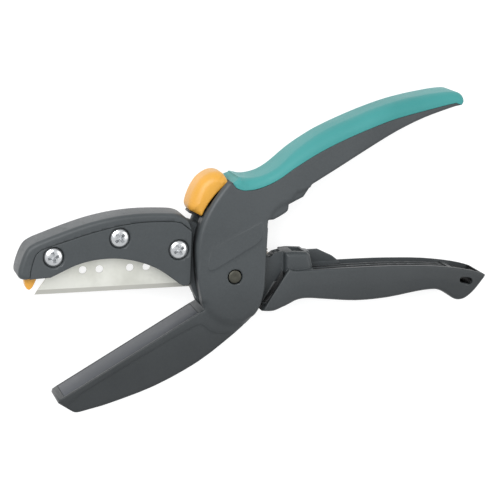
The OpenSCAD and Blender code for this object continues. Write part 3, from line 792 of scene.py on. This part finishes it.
def open_tree(name, **kinds):
    """A new geometry tree with named inputs: its wire, and what comes in at each input."""
    tree = bpy.data.node_groups.new(name, "GeometryNodeTree")
    for label, kind in kinds.items():
        tree.interface.new_socket(name=label, in_out="INPUT", socket_type="NodeSocket" + kind)
    tree.interface.new_socket(name="Result", in_out="OUTPUT", socket_type="NodeSocketGeometry")
    given = tree.nodes.new("NodeGroupInput")
    return Wire(tree), [Wire(tree, given.outputs[label]) for label in kinds]


def close_tree(wire, shape, material):
    """Ends a tree in one real mesh with its finish on."""
    real = wire.node("GeometryNodeRealizeInstances", {}, {"Geometry": shape})
    paint = wire.node("GeometryNodeSetMaterial", {}, {"Geometry": real, "Material": material})
    result = wire.tree.nodes.new("NodeGroupOutput")
    wire.tree.links.new(paint.socket, result.inputs["Result"])
    return wire.tree


def scatter_tree(name, material):
    """A tree that sets one object on every point, turned by the point's own angle."""
    wire, (places, piece, size) = open_tree(name, Places="Geometry", Piece="Object", Size="Float")
    source = wire.node("GeometryNodeObjectInfo", {}, {"Object": piece}, "Geometry")
    angle = wire.node("GeometryNodeInputNamedAttribute", {"data_type": "FLOAT"}, {"Name": "turn"},
                      "Attribute")
    turn = wire.node("ShaderNodeCombineXYZ", {}, {"Z": angle})
    spread = wire.node("GeometryNodeInstanceOnPoints", {},
                       {"Points": places, "Instance": source, "Rotation": turn, "Scale": size})
    return close_tree(wire, spread, material)


def grown(piece, tree, **values):
    """Runs a tree on a piece with its named inputs, and keeps the plain mesh that it makes."""
    step = piece.modifiers.new("grow", "NODES")
    step.node_group = tree
    sockets = {s.name: s.identifier for s in tree.interface.items_tree if s.in_out == "INPUT"}
    for key, value in values.items():
        step[sockets[key]] = value
    return settle(piece)


def painted(node, material):
    """A frame node that shows as it is, in its own finish."""
    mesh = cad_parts[node].data
    mesh.materials.clear()
    mesh.materials.append(material)


screw_spots = mesh_object("screws", [(x, y, SEAT) for x, y, _ in SCREW_PLACES], [])
turns = screw_spots.data.attributes.new("turn", "FLOAT", "POINT")
turns.data.foreach_set("value", [math.radians(t) for _, _, t in SCREW_PLACES])
grown(screw_spots, scatter_tree("screws_on_points", ZINC), Piece=screw, Size=1.0)
bpy.data.objects.remove(screw)
dressed(screw_spots, ZINC, "cover_screw_set", "lever", "zinc",
        "screw_front", "screw_middle", "screw_rear")

BRASS = steel("knurled_brass", shade(176, 138, 66), shade(206, 168, 92), 0.3, (1.0, 1.0, 1.0), 500.0)
for where in ("front", "middle", "rear"):
    painted("insert_" + where, BRASS)

# ---------------------------------------------------------------- pivot
# A turned steel pin with a low flange goes through the head. The lever's hub turns on it in a
# bronze bush, between two plated washers; the same steel is used for the lock's and catch's pins.

PIN_STEEL = steel("turned_pin_steel", shade(60, 59, 52), shade(80, 79, 72), 0.42, (1.0, 1.0, 0.1), 800.0)
flange = [(0, 0.92), (3.7, 0.92), (4.08, 1.3), (4.08, 2.48), (2.49, 2.48)]
crown = [(2.49, 20.0), (2.4, 20.2), (2.2, 20.32), (1.2, 20.36), (0.45, 20.3), (0, 20.22)]
pin = turned("pin", flange + crown)
dressed(smooth(pin), PIN_STEEL, "pivot_pin_turned", "frame", "pin_steel", "pivot_pin")
BRONZE = steel("sintered_bronze", shade(140, 104, 60), shade(168, 128, 78), 0.5, (1.0, 1.0, 1.0), 1500.0)
for node, material in (("pivot_bush", BRONZE), ("washer_far", ZINC), ("washer_near", ZINC),
                       ("lock_guide_pin", PIN_STEEL), ("catch_pin", PIN_STEEL)):
    painted(node, material)

# ---------------------------------------------------------------- springs
# The return spring is a compression spring in drawn wire, under 0.8 mm thick, with closed ends. It
# stands between the head and the block on the lever, and bends as the lever turns. A leaf spring
# and a small torsion spring sit out of sight.

SPRING_FOOT = Vector((13.1, 5.2, MIDDLE))
SPRING_HEAD = Vector((9.5, 19.1, MIDDLE))
COIL_RADIUS = 2.38
WIRE_RADIUS = 0.38
END_ROOM = 0.55
WIRE = steel("drawn_spring_wire", shade(120, 114, 106), shade(168, 162, 152), 0.32, (1.0, 1.0, 1.0))


def coil_tree(name, material):
    """A tree that winds a wire into a coil with closed ends along +Z."""
    wire, (_, turns, radius, length, thickness) = open_tree(
        name, Start="Geometry", Turns="Float", Coil="Float", Length="Float", Thickness="Float")
    coil = wire.node("GeometryNodeCurveSpiral", {},
                     {"Resolution": 28, "Rotations": turns, "Start Radius": radius,
                      "End Radius": radius, "Height": length})
    share = wire.node("GeometryNodeSplineParameter", {}, {}, "Factor")
    closing = wire.maths("SINE", share * (2 * math.pi)) * length * -0.08
    shift = wire.node("ShaderNodeCombineXYZ", {}, {"Z": closing})
    spaced = wire.node("GeometryNodeSetPosition", {}, {"Geometry": coil, "Offset": shift})
    ring = wire.node("GeometryNodeCurvePrimitiveCircle", {}, {"Resolution": 12, "Radius": thickness})
    swept = wire.node("GeometryNodeCurveToMesh", {},
                      {"Curve": spaced, "Profile Curve": ring, "Fill Caps": True})
    return close_tree(wire, swept, material)


spring = mesh_object("spring", [(0, 0, 0)], [])
spring_axis = SPRING_HEAD - SPRING_FOOT
coil_length = spring_axis.length - 2 * END_ROOM
grown(spring, coil_tree("wound_spring", WIRE), Turns=7.0, Coil=COIL_RADIUS * MM,
      Length=coil_length * MM, Thickness=WIRE_RADIUS * MM)
turn_to_axis = spring_axis.to_track_quat("Z", "Y").to_matrix().to_4x4()
coil_start = SPRING_FOOT + spring_axis.normalized() * END_ROOM
spring.data.transform(Matrix.Translation(coil_start * MM) @ turn_to_axis)
dressed(smooth(spring, 60), WIRE, "return_spring_coil", None, "spring_steel", "return_spring")
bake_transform(spring)
for node in ("lock_leaf", "catch_spring"):
    painted(node, WIRE)

# ---------------------------------------------------------------- surroundings
# The shears lie on a pale sheet under a large soft light at the upper left, a weaker one at the
# right, and an even pale sky.

scene = bpy.context.scene
scene.view_settings.view_transform = "Standard"
REACH = 1500
sheet_corners = [(x * REACH, y * REACH, -0.3) for x, y in ((-1, -1), (1, -1), (1, 1), (-1, 1))]
sheet = mesh_object("floor", sheet_corners, [[0, 1, 2, 3]])
paper, wire, shader, place = start_finish("pale_sheet")
tint = wire.mix(wire.noise(place, 3.0, 2.0), (0.32, 0.32, 0.32, 1), (0.34, 0.34, 0.34, 1))
feed(shader, wire, Base_Color=tint, Roughness=0.9, Specular_IOR_Level=0.1,
     Emission_Color=(1.0, 1.0, 1.0, 1.0), Emission_Strength=0.78)
sheet.data.materials.append(paper)

world = bpy.data.worlds.new("sky")
scene.world = world
world.use_nodes = True
sky = world.node_tree.nodes["Background"]
sky.inputs["Color"].default_value = (0.97, 0.985, 1.0, 1)
sky.inputs["Strength"].default_value = 0.76


def soft_light(name, place, aim, size, power, colour):
    lamp = bpy.data.lights.new(name, "AREA")
    lamp.size = size
    lamp.energy = power
    lamp.color = colour
    made = bpy.data.objects.new(name, lamp)
    made.location = place
    made.rotation_euler = (Vector(aim) - Vector(place)).to_track_quat("-Z", "Y").to_euler()
    scene.collection.objects.link(made)


soft_light("upper_left", (-0.3, 0.36, 0.62), (0, 0, 0), 0.5, 4.6, (0.98, 0.99, 1.0))
soft_light("right", (0.6, 0.1, 0.6), (0, 0, 0), 0.6, 1.6, (1.0, 0.99, 0.97))

camera_data = bpy.data.cameras.new("camera")
camera_data.lens = 149.8
camera_data.sensor_width = 36.0
camera_data.clip_start = 0.05
camera_data.clip_end = 10.0
camera = bpy.data.objects.new("camera", camera_data)
scene.collection.objects.link(camera)
right = Vector((0.96927, 0.0, 0.24599))
up = Vector((0.04969, 0.97939, -0.19579))
back = right.cross(up)
turned_to_view = Matrix((right, up, back)).transposed().to_4x4()
camera.matrix_world = Matrix.Translation((-0.1827, 0.1681, 0.763)) @ turned_to_view
scene.camera = camera
